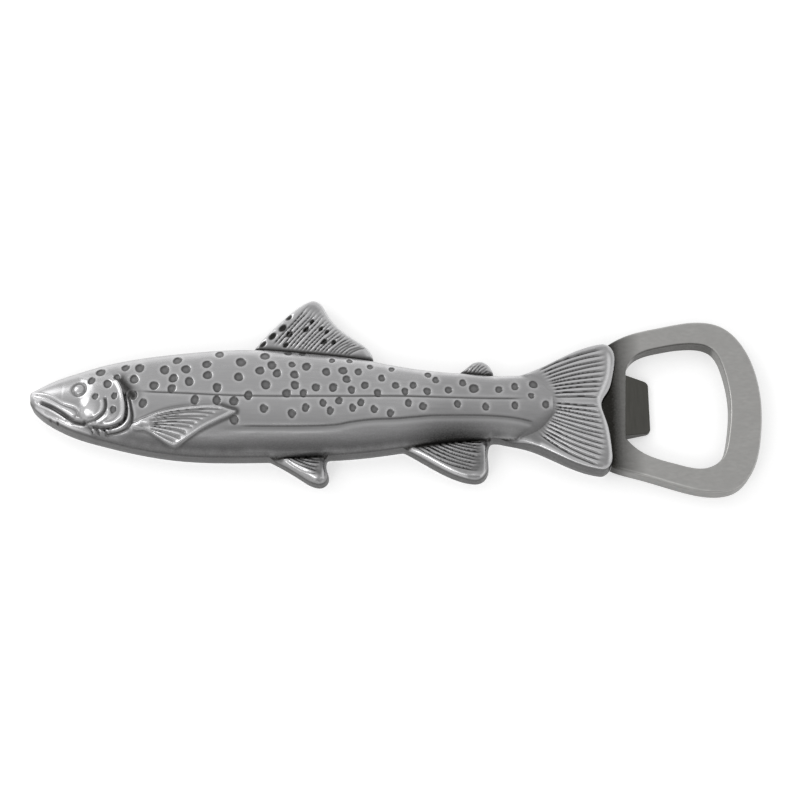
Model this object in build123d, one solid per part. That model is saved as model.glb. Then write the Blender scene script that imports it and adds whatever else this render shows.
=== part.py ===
"""Souvenir bottle opener: a cast trout whose tail carries a crown-cap ring.

Units are millimetres. The back of the opener lies flat on z = 0 and the cast front faces +Z.
The fish looks towards -X, its back fin points to +Y and the opener ring is at the +X end.
The origin is the middle of the footprint.
"""
from math import cos, pi, sin
import os

from build123d import *

# ---------------------------------------------------------------- driving dimensions
LAYER = 4.5            # thickness of the fins and of the opener frame
TAIL_TOP = 5.9         # height of the tail's face
ROOF = 2.2             # thickness of the casting over its cored-out back
RIM = 2.5              # width of the casting's rim round the back cover
LEDGE = 1.0            # width of the ledge that the back cover lies on
COVER = 1.0            # thickness of the back cover, which lies flush in the rim
GAP = 0.08             # clearance between parts that only touch
COVER_FIRST_X = -80.0  # the back cover follows the trunk's stations from here
COVER_LAST_X = 24.0    # to here
CORE_FIRST_X = -75.0   # the cored-out hollow runs from here
CORE_LAST_X = 16.0     # to here

# Trunk of the fish, nose to tail: place along X, belly, back, height of the crest
TRUNK = [
    (-86.6, -3.1, -0.4, 7.3),
    (-84.0, -5.7, 1.2, 8.2),
    (-80.0, -8.2, 3.2, 9.2),
    (-75.0, -10.4, 5.0, 10.0),
    (-70.0, -11.9, 6.6, 10.6),
    (-62.0, -13.9, 8.4, 11.2),
    (-50.0, -15.8, 10.0, 11.6),
    (-36.0, -16.2, 10.9, 11.6),
    (-22.0, -15.9, 10.0, 11.2),
    (-8.0, -15.1, 8.4, 10.3),
    (6.0, -13.1, 5.9, 9.2),
    (16.0, -11.9, 4.9, 8.4),
    (24.0, -11.5, 4.3, 7.8),
    (30.0, -11.2, 4.4, 7.3),
    (34.5, -9.0, 2.6, 6.7),
    (37.0, -6.0, 0.0, 6.1),
]
SHOULDER = 4.2         # height at which the upright sides turn into the arch
ARCH_POWER = 1.3       # 1 is an ellipse, more is a leaner arch
ARCH_STEPS = 8         # spans of the curve over each section

# Rounded front edges
FIN_EDGE = 1.1
TAIL_EDGE = 0.6
RING_EDGE = 0.9
OPENING_EDGE = 0.5
BACK_EDGE = 0.4

# Opener frame
TOOTH_FACE_X = 53.9    # where the tooth's root plate turns into its wedge
TANG_AXIS_Y = -2.6
TANG_HALF = 4.3
TANG_START_X = 18.0
TANG_BOTTOM = COVER
TANG_TOP = 3.5
HEEL_START_X = 46.0    # the tang thickens into a heel from here to the ring
HEEL_HALF = 6.0
HEEL_END_X = 52.5

# Pry tooth
TOOTH_AXIS_Y = -2.5
TOOTH_ROOT_HALF = 7.8
TOOTH_TIP_HALF = 6.4
TOOTH_REACH = 6.5
TOOTH_ROOT_TOP = 3.6
TOOTH_TIP_TOP = 1.1
TOOTH_TIP_CORNER = 1.3
TOOTH_EDGE = 0.3
ROOT_PLATE = 1.8       # thickness of the plate behind the tooth
ROOT_PLATE_HALF = 4.7
ROOT_PLATE_START_X = 46.6

# Fasteners
TOOTH_RIVET_R = 1.2
TOOTH_RIVET_TOP = 3.1
TOOTH_RIVET_X = 49.6
TOOTH_RIVET_SPREAD = 2.7
TANG_RIVET_R = 1.5
TANG_RIVET_HEAD_R = 2.4
TANG_RIVET_TOP = 4.7
TANG_RIVET_X = (25.0, 38.0)
SCREW_R = 1.0
SCREW_HEAD_R = 1.9
SCREW_LENGTH = 6.0
SCREW_PLACES = [(-62.0, -2.7), (-28.0, -2.6), (6.0, -3.6)]
BOSS_R = 2.7
BOSS_TOPS = (10.2, 10.2, 8.2)

# ---------------------------------------------------------------- outlines seen from the front
DORSAL_FIN = [
    (-34.6, 11.0), (-31.3, 15.2), (-25.6, 21.0), (-21.8, 23.9), (-19.8, 24.5),
    (-18.2, 23.7), (-16.4, 20.8), (-14.2, 17.8), (-9.7, 14.2), (-6.8, 12.0), (-5.0, 7.6),
]
ADIPOSE_FIN = [(12.6, 4.6), (16.1, 6.5), (18.8, 8.4), (20.8, 8.5), (22.6, 7.2), (23.6, 3.9)]
PELVIC_FIN = [
    (-31.0, -15.6), (-27.9, -17.2), (-22.2, -20.7), (-18.8, -22.5), (-16.8, -22.4),
    (-15.5, -20.6), (-16.0, -18.2), (-14.6, -14.6),
]
ANAL_FIN = [
    (0.0, -13.0), (4.7, -15.5), (13.1, -20.2), (17.3, -21.5), (20.2, -21.3),
    (21.7, -19.6), (21.9, -15.0), (23.4, -10.8),
]
TAIL_UPPER_EDGE = [(22.0, 3.6), (27.5, 4.2), (33.3, 5.7), (39.1, 8.6), (44.9, 11.2), (49.6, 12.3)]
TAIL_REAR_EDGE = [
    (49.6, 12.3), (51.6, 11.0), (51.6, 4.0), (50.2, -0.3), (48.8, -2.6),
    (49.6, -7.0), (50.7, -14.5), (50.6, -17.6), (48.6, -19.6),
]
TAIL_LOWER_EDGE = [
    (48.6, -19.6), (44.5, -18.8), (37.3, -15.7), (30.3, -12.8), (26.0, -11.9), (22.0, -10.8),
]
RING_OUTLINE = [
    (46.6, 9.0), (51.0, 12.6), (55.1, 14.8), (63.9, 17.1), (72.0, 18.4), (78.3, 17.2),
    (83.0, 12.4), (85.8, 5.0), (86.6, -2.6), (85.9, -11.0), (83.6, -19.0), (79.3, -23.7),
    (74.6, -24.7), (68.0, -23.7), (56.9, -20.3), (51.0, -18.5), (45.4, -14.4), (43.6, -2.6),
]
OPENING_SIDE = [(54.0, -11.0), (54.8, 5.6)]
OPENING_ROUND = [
    (54.8, 5.6), (57.4, 9.6), (63.0, 11.6), (70.0, 12.6), (75.4, 11.5), (78.2, 5.8),
    (79.2, -2.6), (78.2, -11.0), (75.6, -17.1), (72.4, -18.6), (66.0, -17.7),
    (58.0, -14.8), (54.0, -11.0),
]
GILL_COVER = [
    (-71.0, 4.2), (-67.0, 3.4), (-64.6, 0.2), (-63.4, -4.0), (-63.2, -7.4),
    (-65.4, -9.9), (-69.0, -10.7), (-73.0, -9.0), (-74.6, -4.0), (-73.6, 1.4),
]
PECTORAL_FIN = [
    (-62.2, -8.4), (-57.0, -6.3), (-50.0, -5.2), (-43.0, -5.0), (-38.4, -6.0),
    (-42.0, -8.2), (-46.0, -10.9), (-51.6, -14.6), (-57.4, -12.2), (-62.0, -10.4),
]
RELIEF = 0.55          # how far the gill cover and the pectoral fin stand proud
RELIEF_BOTTOM = 2.5    # height inside the trunk from which they rise
RELIEF_LAST_X = 24.0   # their skin follows the trunk as far back as this
EYE_PLACE = (-75.2, -0.8)
EYE_R = 1.9
EYE_TOP = 10.6


def across(x):
    """Plane square to the fish's length, with its own x along +Y and its y along +Z."""
    return Plane(origin=(x, 0, 0), x_dir=(0, 1, 0), z_dir=(1, 0, 0))


def arch_section(x, belly, back, shoulder, crest):
    """D-shaped section: a flat base and two upright sides under a full arch."""
    middle = (belly + back) / 2
    half = (back - belly) / 2
    crown = []
    for step in range(ARCH_STEPS + 1):
        turn = pi * step / ARCH_STEPS
        rise = (crest - shoulder) * abs(sin(turn)) ** ARCH_POWER
        crown.append((middle - half * cos(turn), shoulder + rise))
    outline = Line((back, 0), (belly, 0))
    outline += Line((belly, 0), (belly, shoulder))
    outline += Spline(*crown, tangents=((0, 1), (0, -1)))
    outline += Line((back, shoulder), (back, 0))
    return across(x) * make_face(outline)


def arch_loft(side_inset=0.0, top_inset=0.0, first_x=-90.0, last_x=90.0):
    """The trunk's arch through its stations, drawn in at the sides and at the top."""
    sections = []
    for x, belly, back, crest in TRUNK:
        if first_x <= x <= last_x:
            low, high = belly + side_inset, back - side_inset
            sections.append(arch_section(x, low, high, SHOULDER, crest - top_inset))
    return loft(sections)


def smooth_face(points):
    """Face inside one smooth closed curve."""
    return make_face(Spline(*points, periodic=True))


def open_fin_face(points):
    """Face inside a smooth fin outline whose root is a straight line inside the trunk."""
    return make_face(Spline(*points) + Line(points[-1], points[0]))


def plate(face, bottom, top):
    """Flat plate of a given outline between two heights."""
    return Pos(0, 0, bottom) * extrude(face, top - bottom)


def block(x_range, y_range, z_range):
    """Rectangular block between two corners."""
    size = [high - low for low, high in (x_range, y_range, z_range)]
    centre = [(high + low) / 2 for low, high in (x_range, y_range, z_range)]
    return Pos(*centre) * Box(*size)


def pin(place, radius, bottom, top):
    """Upright round pin at a place on the plan."""
    rise = top - bottom
    return Pos(place[0], place[1], bottom) * Cylinder(
        radius, rise, align=(Align.CENTER, Align.CENTER, Align.MIN)
    )


def countersunk_pin(place, radius, head_radius, bottom, top):
    """Upright pin with a conical head at its lower end, at 45 degrees."""
    head_height = head_radius - radius
    head = Pos(place[0], place[1], bottom) * Cone(
        head_radius, radius, head_height, align=(Align.CENTER, Align.CENTER, Align.MIN)
    )
    return head + pin(place, radius, bottom, top)


def between(low, high, axis_y, half):
    """X range and Y range of a strip that lies along an axis."""
    return (low, high), (axis_y - half, axis_y + half)


def front_of(solid):
    """Its uppermost flat face."""
    return solid.faces().filter_by(Plane.XY).sort_by(Axis.Z)[-1]


def back_of(solid):
    """Its lowest flat face."""
    return solid.faces().filter_by(Plane.XY).sort_by(Axis.Z)[0]


# ---------------------------------------------------------------- shared shapes
def tail_plate(shift_x=0.0):
    """The tail fan, up to its raised face."""
    outline = Spline(*TAIL_UPPER_EDGE) + Spline(*TAIL_REAR_EDGE) + Spline(*TAIL_LOWER_EDGE)
    outline += Line(TAIL_LOWER_EDGE[-1], TAIL_UPPER_EDGE[0])
    fan = plate(make_face(outline), 0, TAIL_TOP)
    curved = front_of(fan).edges().filter_by(GeomType.LINE, reverse=True)
    return Pos(shift_x, 0, 0) * fillet(curved, TAIL_EDGE)


def cover_outline(inset=0.0):
    """Outline of the back cover: the trunk's shape less its rim, then a strip to the heel."""
    stations = [station for station in TRUNK if COVER_FIRST_X <= station[0] <= COVER_LAST_X]
    upper = [(x, back - RIM - inset) for x, belly, back, crest in stations]
    lower = [(x, belly + RIM + inset) for x, belly, back, crest in reversed(stations)]
    start = (upper[0][0] + inset, upper[0][1])
    upper[0] = start
    lower[-1] = (start[0], lower[-1][1])
    end_x = HEEL_START_X - inset
    outline = Spline(*upper) + Line(upper[-1], (end_x, upper[-1][1]))
    outline += Line((end_x, upper[-1][1]), (end_x, lower[0][1]))
    outline += Line((end_x, lower[0][1]), lower[0])
    outline += Spline(*lower) + Line(lower[-1], upper[0])
    return make_face(outline)


def tang(slack=0.0):
    """The frame's tang and heel, which run up inside the tail."""
    bottom, top = TANG_BOTTOM, TANG_TOP + slack
    strip = between(TANG_START_X - slack, HEEL_START_X, TANG_AXIS_Y, TANG_HALF + slack)
    heel = between(HEEL_START_X - slack, HEEL_END_X, TANG_AXIS_Y, HEEL_HALF + slack)
    return block(*strip, (bottom, top)) + block(*heel, (0, top))


def screws(slack=0.0):
    """The cover's three countersunk screws, without their drives."""
    return [
        countersunk_pin(place, SCREW_R + slack, SCREW_HEAD_R + slack, 0, SCREW_LENGTH + slack)
        for place in SCREW_PLACES
    ]


def tang_rivets(slack=0.0):
    """Rivets that fix the tang up into the casting."""
    radius, head = TANG_RIVET_R + slack, TANG_RIVET_HEAD_R + slack
    return [
        countersunk_pin((x, TANG_AXIS_Y), radius, head, TANG_BOTTOM, TANG_RIVET_TOP + slack)
        for x in TANG_RIVET_X
    ]


def tooth_rivets(slack=0.0):
    """Flush rivets through the tooth's root plate into the frame's heel."""
    return [
        pin((TOOTH_RIVET_X, TOOTH_AXIS_Y + side), TOOTH_RIVET_R + slack, 0, TOOTH_RIVET_TOP + slack)
        for side in (-TOOTH_RIVET_SPREAD, TOOTH_RIVET_SPREAD)
    ]


def tooth_blank():
    """The wedge and the root plate that is let into the back of the heel, without holes."""
    tip_x = TOOTH_FACE_X + TOOTH_REACH
    side = Polyline(
        (TOOTH_FACE_X, 0), (tip_x, 0), (tip_x, TOOTH_TIP_TOP), (TOOTH_FACE_X, TOOTH_ROOT_TOP),
        close=True,
    )
    wedge = extrude(Plane.XZ * make_face(side), 2 * TOOTH_ROOT_HALF, both=True)
    plan = Polyline(
        (TOOTH_FACE_X, TOOTH_AXIS_Y - TOOTH_ROOT_HALF),
        (tip_x, TOOTH_AXIS_Y - TOOTH_TIP_HALF),
        (tip_x, TOOTH_AXIS_Y + TOOTH_TIP_HALF),
        (TOOTH_FACE_X, TOOTH_AXIS_Y + TOOTH_ROOT_HALF),
        close=True,
    )
    trimmer = plate(make_face(plan), 0, LAYER)
    tip_corners = trimmer.edges().filter_by(Axis.Z).group_by(Axis.X)[-1]
    wedge &= fillet(tip_corners, TOOTH_TIP_CORNER)
    ramp = wedge.faces().sort_by(SortBy.AREA)[-2:].sort_by(Axis.Z)[-1]
    wedge = fillet(ramp.edges() - ramp.edges().group_by(Axis.X)[0], TOOTH_EDGE)
    span = between(ROOT_PLATE_START_X, TOOTH_FACE_X, TOOTH_AXIS_Y, ROOT_PLATE_HALF)
    return wedge + block(*span, (0, ROOT_PLATE))


# ---------------------------------------------------------------- the pieces
def fish_casting():
    """Hollow-backed casting: trunk, fins, tail, gill cover, pectoral fin and eye."""
    casting = arch_loft()
    for outline in (DORSAL_FIN, ADIPOSE_FIN, PELVIC_FIN, ANAL_FIN):
        fin = plate(open_fin_face(outline), 0, LAYER)
        curved = front_of(fin).edges().filter_by(GeomType.LINE, reverse=True)
        casting += fillet(curved, FIN_EDGE)
    casting += tail_plate()
    skin = arch_loft(-RELIEF, -RELIEF, last_x=RELIEF_LAST_X)
    highest = max(crest for x, belly, back, crest in TRUNK) + 2 * RELIEF
    for outline in (GILL_COVER, PECTORAL_FIN):
        casting += plate(smooth_face(outline), RELIEF_BOTTOM, highest) & skin
    casting += Pos(*EYE_PLACE, EYE_TOP - EYE_R) * Sphere(EYE_R)
    casting -= arch_loft(RIM + LEDGE, ROOF, first_x=CORE_FIRST_X, last_x=CORE_LAST_X)
    for place, boss_top in zip(SCREW_PLACES, BOSS_TOPS):
        casting += pin(place, BOSS_R, COVER, boss_top)
    casting -= plate(cover_outline(), 0, COVER)
    casting -= tang(GAP)
    for hole in screws(GAP / 4) + tang_rivets(GAP / 4):
        casting -= hole
    return casting


def opener_frame():
    """Flat crown-cap ring with the tang that runs up inside the tail."""
    ring = plate(smooth_face(RING_OUTLINE), 0, LAYER)
    opening = make_face(Line(*OPENING_SIDE) + Spline(*OPENING_ROUND))
    ring -= plate(opening, 0, LAYER)
    ring = fillet(front_of(ring).outer_wire().edges(), RING_EDGE)
    ring = fillet(front_of(ring).inner_wires()[0].edges(), OPENING_EDGE)
    ring = fillet(back_of(ring).outer_wire().edges(), BACK_EDGE)
    ring = fillet(back_of(ring).inner_wires()[0].edges(), BACK_EDGE)
    frame = ring - tail_plate(GAP)
    frame += tang()
    frame -= tooth_blank()
    for hole in tooth_rivets(GAP / 4) + tang_rivets(GAP / 4):
        frame -= hole
    return frame


def pry_tooth():
    """Hardened wedge that lifts the cap, with the plate that holds it."""
    tooth = tooth_blank()
    for hole in tooth_rivets(GAP / 4):
        tooth -= hole
    return tooth


def back_cover():
    """Thin cover that closes the casting's cored-out back."""
    cover = plate(cover_outline(GAP), 0, COVER)
    for hole in screws(GAP / 4):
        cover -= hole
    return cover


def cross_drive(place):
    """Cross recess in a screw's head."""
    x, y = place
    long_half, short_half, depth = 1.2, 0.25, 0.6
    along = block((x - long_half, x + long_half), (y - short_half, y + short_half), (0, depth))
    over = block((x - short_half, x + short_half), (y - long_half, y + long_half), (0, depth))
    return along + over


def cover_screws():
    """The cover's screws, each with a cross drive."""
    return [screw - cross_drive(place) for screw, place in zip(screws(), SCREW_PLACES)]


PIECES = {
    "fish_casting": fish_casting(),
    "opener_frame": opener_frame(),
    "pry_tooth": pry_tooth(),
    "tooth_rivets": Compound(children=tooth_rivets()),
    "tang_rivets": Compound(children=tang_rivets()),
    "back_cover": back_cover(),
    "cover_screws": Compound(children=cover_screws()),
}

os.makedirs("parts", exist_ok=True)
for name, piece in PIECES.items():
    export_step(piece, f"parts/{name}.step")
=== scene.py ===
"""Looks of the souvenir bottle opener: the cast trout, its ring, tooth, cover and fasteners.

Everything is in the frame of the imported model, in metres. The relief of the casting is worked out
in millimetres, seen from the front: x along the fish, y towards its back fin, z out of the front.
"""
import math

import bmesh
import bpy
import numpy as np
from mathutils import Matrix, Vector
from mathutils.geometry import delaunay_2d_cdt


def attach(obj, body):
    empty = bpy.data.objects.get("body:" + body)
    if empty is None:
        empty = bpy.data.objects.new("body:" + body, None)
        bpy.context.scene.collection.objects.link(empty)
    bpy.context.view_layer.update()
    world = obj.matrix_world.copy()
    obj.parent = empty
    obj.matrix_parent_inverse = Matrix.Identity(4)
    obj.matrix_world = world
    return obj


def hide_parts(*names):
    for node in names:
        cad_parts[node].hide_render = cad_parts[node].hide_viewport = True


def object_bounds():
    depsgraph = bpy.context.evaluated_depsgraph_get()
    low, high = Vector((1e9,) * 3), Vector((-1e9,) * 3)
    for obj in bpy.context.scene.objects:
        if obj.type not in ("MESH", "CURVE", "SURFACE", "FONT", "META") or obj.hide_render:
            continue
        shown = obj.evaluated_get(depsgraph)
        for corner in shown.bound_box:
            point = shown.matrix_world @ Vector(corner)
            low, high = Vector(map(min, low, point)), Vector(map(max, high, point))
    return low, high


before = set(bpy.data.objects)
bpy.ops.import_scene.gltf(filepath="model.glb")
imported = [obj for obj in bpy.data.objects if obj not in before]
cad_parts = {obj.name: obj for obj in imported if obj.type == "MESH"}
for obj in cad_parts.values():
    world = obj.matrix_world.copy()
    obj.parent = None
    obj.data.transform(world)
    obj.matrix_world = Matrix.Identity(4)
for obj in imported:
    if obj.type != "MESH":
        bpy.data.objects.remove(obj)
cad_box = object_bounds()

MM = 0.001

# ---------------------------------------------------------------- the casting's shape, in mm
# Trunk, nose to tail: place along x, belly, back, height of the crest (the CAD's stations)
TRUNK = np.array([
    (-86.6, -3.1, -0.4, 7.3),
    (-84.0, -5.7, 1.2, 8.2),
    (-80.0, -8.2, 3.2, 9.2),
    (-75.0, -10.4, 5.0, 10.0),
    (-70.0, -11.9, 6.6, 10.6),
    (-62.0, -13.9, 8.4, 11.2),
    (-50.0, -15.8, 10.0, 11.6),
    (-36.0, -16.2, 10.9, 11.6),
    (-22.0, -15.9, 10.0, 11.2),
    (-8.0, -15.1, 8.4, 10.3),
    (6.0, -13.1, 5.9, 9.2),
    (16.0, -11.9, 4.9, 8.4),
    (24.0, -11.5, 4.3, 7.8),
    (30.0, -11.2, 4.4, 7.3),
    (34.5, -9.0, 2.6, 6.7),
    (37.0, -6.0, 0.0, 6.1),
])
SHOULDER = 4.2  # where the upright side turns into the arch
BACK_POWER = 0.52  # of the arch towards the back: 0.5 is an ellipse, 1 a parabola
BELLY_POWER = 0.65  # of the arch towards the belly
FIN_TOP = 4.5
TAIL_TOP = 5.9
TAIL_START_X = 26.0  # behind this the plate outside the trunk is the tail
TAIL_ROLL = (0.6, 0.5)  # width and drop of the tail's rounded edge
BACK_ROLL = (1.3, 1.2)  # of the fins on the back
BELLY_ROLL = (2.0, 2.4)  # of the fins on the belly
DRAFT = 0.12  # how far the wall leans in from the back to the front

# Spots pressed into the head and the flank: x, y, radius
SPOTS = [
    (-69.4, 3.4, 1.1), (-71.2, 0.9, 0.95), (-67.3, -0.2, 1.0), (-70.0, -3.3, 0.75),
    (-65.5, -3.3, 0.75), (-65.7, -6.5, 0.75), (-65.4, 1.7, 0.8), (-63.6, 4.5, 0.95),
    (-60.2, 4.3, 1.15), (-61.2, 1.1, 1.05), (-56.4, -0.7, 1.05), (-54.2, 3.6, 1.15),
    (-58.8, -5.0, 1.0), (-61.3, -2.9, 1.1), (-51.5, 6.4, 1.05), (-52.0, 1.2, 1.05),
    (-52.2, -1.5, 1.0), (-49.2, 3.7, 1.1), (-48.2, 0.3, 1.05), (-46.7, -4.3, 1.0),
    (-44.4, 5.1, 1.05), (-44.0, 2.0, 1.05), (-41.7, 8.3, 1.05), (-41.6, -1.3, 1.05),
    (-41.6, -4.4, 1.0), (-37.6, -4.6, 1.05), (-37.5, -8.9, 1.0), (-36.4, 5.7, 1.2),
    (-36.7, 1.5, 1.05), (-34.3, -3.2, 1.0), (-31.8, 3.3, 1.05), (-30.9, 7.7, 1.1),
    (-29.1, 4.9, 1.1), (-27.8, 2.6, 1.0), (-30.3, -0.5, 1.1), (-30.6, -6.3, 0.95),
    (-25.5, 9.2, 0.85), (-22.2, 9.3, 0.85), (-24.4, 5.2, 0.8), (-21.0, 4.7, 1.05),
    (-23.7, 2.3, 1.0), (-23.5, -0.5, 1.0), (-25.4, -2.6, 1.0), (-21.5, -2.5, 0.9),
    (-18.6, -1.0, 0.95), (-20.9, -6.0, 0.9), (-24.1, -7.4, 0.95), (-15.1, 6.9, 0.7),
    (-16.3, 3.3, 1.0), (-12.4, 3.8, 1.05), (-11.0, 7.0, 0.7), (-11.5, 1.4, 0.95),
    (-14.6, -0.9, 1.0), (-16.9, -4.8, 0.85), (-15.2, -6.6, 0.85), (-13.2, -4.2, 0.85),
    (-10.3, -1.4, 0.9), (-8.8, 3.6, 0.9), (-10.0, -5.8, 0.85), (-8.1, -4.5, 0.85),
    (-7.2, -0.1, 0.9), (-6.1, 5.2, 0.7), (-5.0, -6.0, 0.85), (-4.2, -2.0, 0.9),
    (-3.3, 2.0, 0.85), (-1.0, 4.8, 0.7), (-1.2, -6.8, 0.85), (0.0, 0.1, 0.85),
    (2.2, -1.4, 0.85), (4.1, 0.3, 0.85), (3.0, -4.3, 0.85), (6.4, -5.0, 0.9),
    (7.4, -1.2, 0.9), (7.6, 3.5, 0.8), (9.4, 2.0, 0.85), (12.4, -0.7, 0.85),
    (14.5, -4.2, 0.85), (15.8, 1.4, 0.9), (18.4, -0.1, 1.15), (24.3, -0.2, 0.85),
    (21.1, -4.7, 0.85), (28.1, 0.7, 0.9), (28.0, -4.2, 0.85), (31.9, -1.6, 0.7),
    (32.5, 1.5, 1.0), (35.3, -3.6, 0.85),
]
# Blotches on the back fin
FIN_SPOTS = [
    (-25.8, 19.5, 0.8), (-27.2, 16.7, 0.95), (-25.6, 15.2, 0.85), (-29.6, 14.6, 0.95),
    (-31.8, 12.6, 0.8), (-26.4, 12.4, 0.7), (-21.6, 16.4, 0.75), (-20.2, 18.5, 0.6),
    (-18.0, 16.6, 0.6), (-16.6, 15.8, 0.55), (-17.2, 13.3, 0.75), (-14.9, 13.1, 0.6),
]
SPOT_DEPTH = 0.32

# Lines on the trunk and head: points, half-width, height (a groove is negative), stain
LINES = [
    # lateral line
    ([(-60.5, -2.1), (-50, -2.6), (-40, -3.1), (-28, -3.3), (-12, -3.0), (2, -2.6), (18, -2.6),
      (31, -2.4)], 0.26, -0.24, 0.8),
    # crest over the upper jaw plate and the groove under it
    ([(-85.8, -1.0), (-84.4, -1.5), (-82.2, -2.0), (-80.0, -2.9), (-78.0, -4.1), (-76.0, -4.8),
      (-74.6, -5.4), (-73.4, -6.6)], 0.26, 0.16, 0.0),
    ([(-84.6, -1.9), (-82.2, -2.5), (-80.2, -3.4), (-77.8, -4.7), (-75.6, -5.5), (-74.4, -6.4),
      (-73.9, -7.6)], 0.28, -0.3, 0.5),
    # the upper jaw plate
    ([(-85.4, -2.2), (-83.0, -3.0), (-80.8, -3.9), (-78.8, -5.1), (-77.0, -6.1), (-75.7, -6.9),
      (-74.9, -7.6)], 0.66, 0.58, 0.0),
    # mouth gap
    ([(-83.6, -3.6), (-82.0, -4.3), (-80.3, -5.1), (-78.6, -6.1), (-77.0, -7.2), (-75.6, -8.1),
      (-74.0, -8.6), (-72.4, -8.9)], 0.36, -0.75, 1.0),
    # inner lip, the crease under it, the lower jaw and two nicks in it
    ([(-85.2, -3.2), (-83.6, -4.2), (-82.0, -5.0), (-80.2, -6.0), (-78.4, -7.1), (-77.0, -8.0)],
     0.24, 0.22, 0.0),
    ([(-82.6, -5.5), (-80.8, -6.4), (-79.0, -7.2), (-77.2, -8.1), (-75.4, -8.9)], 0.2, -0.2, 0.5),
    ([(-85.4, -4.2), (-84.3, -5.4), (-82.5, -6.5), (-80.5, -7.5), (-78.3, -8.4), (-76.1, -9.4),
      (-74.1, -10.1), (-72.3, -10.8), (-70.9, -11.3)], 0.72, 0.6, 0.0),
    ([(-81.7, -7.1), (-80.8, -7.5)], 0.32, -0.4, 1.4),
    ([(-79.9, -7.9), (-78.9, -8.3)], 0.32, -0.4, 1.4),
    # front gill plate's rear edge
    ([(-67.8, -3.4), (-67.5, -5.2), (-67.8, -6.6), (-69.0, -7.8), (-70.8, -8.6), (-73.2, -8.8)],
     0.36, -0.5, 0.9),
    ([(-68.5, -4.2), (-68.4, -5.6), (-69.0, -6.9), (-70.4, -7.9)], 0.3, 0.14, 0.0),
    ([(-66.8, -6.4), (-67.2, -7.7), (-68.3, -8.6), (-69.9, -9.2)], 0.45, 0.32, 0.0),
    # the gill cover's edge and the two rims behind it, with the gaps between them
    ([(-65.6, 0.9), (-64.5, -1.0), (-63.8, -3.0), (-63.5, -5.4), (-63.7, -7.4), (-64.7, -8.7),
      (-66.4, -9.4), (-68.4, -9.5)], 0.4, 0.26, 0.0),
    ([(-63.5, -2.0), (-62.9, -3.8), (-62.6, -5.6), (-62.7, -7.4), (-63.4, -8.8), (-65.0, -9.7),
      (-67.2, -10.1), (-69.6, -9.9), (-71.4, -9.4)], 0.3, -0.5, 1.0),
    ([(-62.6, -4.0), (-62.1, -6.0), (-62.1, -8.0), (-62.9, -9.4), (-64.4, -10.3), (-66.6, -10.7)],
     0.24, 0.26, 0.0),
    ([(-62.6, -2.6), (-62.1, -4.0), (-61.7, -5.6), (-61.3, -7.6), (-61.6, -9.2),
      (-62.8, -10.4), (-65.0, -11.0), (-68.0, -11.2)], 0.36, -0.45, 1.0),
    # gill rakers under the cover, with the gaps between them
    ([(-71.5, -9.6), (-70.8, -10.9)], 0.22, -0.4, 1.0),
    ([(-70.9, -10.0), (-70.3, -10.9)], 0.24, 0.3, 0.0),
    ([(-70.0, -10.0), (-69.2, -11.0)], 0.22, -0.4, 1.0),
    ([(-69.3, -10.0), (-68.7, -10.9)], 0.24, 0.3, 0.0),
    ([(-68.3, -10.1), (-67.4, -11.0)], 0.22, -0.4, 1.0),
    ([(-67.6, -10.3), (-66.9, -10.9)], 0.24, 0.26, 0.0),
]
# Fold between the flank and the belly; the belly side stands proud
BELLY_FOLD = [
    (-42, -10.3), (-30, -10.35), (-20, -10.2), (-14, -9.85), (-10, -9.1), (-5, -8.45),
    (0, -8.15), (5, -7.6), (10, -7.15), (20, -6.9), (27, -7.2), (32, -8.0), (35, -9.0),
]
FOLD_HEIGHT = 0.28
FOLD_CREASE = 0.1  # depth of the crease along it
BELLY_SHADE_AND_STAIN = 0.9  # painted shade at the belly's side, partly antique stain
PEDUNCLE_STAIN = 0.22  # all over the rear of the trunk
# Front edge of the cheek and of the gill cover, from above the eye down to the jaw
CHEEK_FRONT = [
    (-73.9, 1.9), (-72.9, 0.9), (-72.2, -0.4), (-72.1, -2.0), (-72.6, -4.0), (-73.2, -6.0),
    (-73.0, -7.6), (-72.0, -8.8),
]
GILL_EDGE = [
    (-67.0, 3.0), (-65.4, 1.2), (-64.2, -0.6), (-63.4, -2.6), (-62.9, -5.0), (-62.9, -7.1),
    (-63.4, -8.6), (-64.9, -9.5), (-67.3, -9.95), (-70.0, -9.7), (-72.0, -9.2),
]
GILL_HOLLOW = [(-64.3, 1.0), (-63.0, -0.8), (-61.3, -3.1)]
CHEEK_HEIGHT = 0.5  # of the step at the cheek's front edge
CHEEK_STEP = (1.1, 3.6)  # its width at the ends, and how much more in the middle
BULGE = (-71.6, -6.2)  # middle of the cheek's bulge
BULGE_SIZE = (1.7, 1.8)
BULGE_HEIGHT = 0.5
EYE = (-74.1, -1.2)
EYE_RADIUS = 1.3
EYE_HEIGHT = 0.45
EYE_STAIN = 0.42
SOCKET = (1.6, 0.26, 0.26)  # radius, half-width and depth of the groove round the eye
HOLLOW_SIZE = (1.95, 0.24)  # half-width and depth

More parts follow.
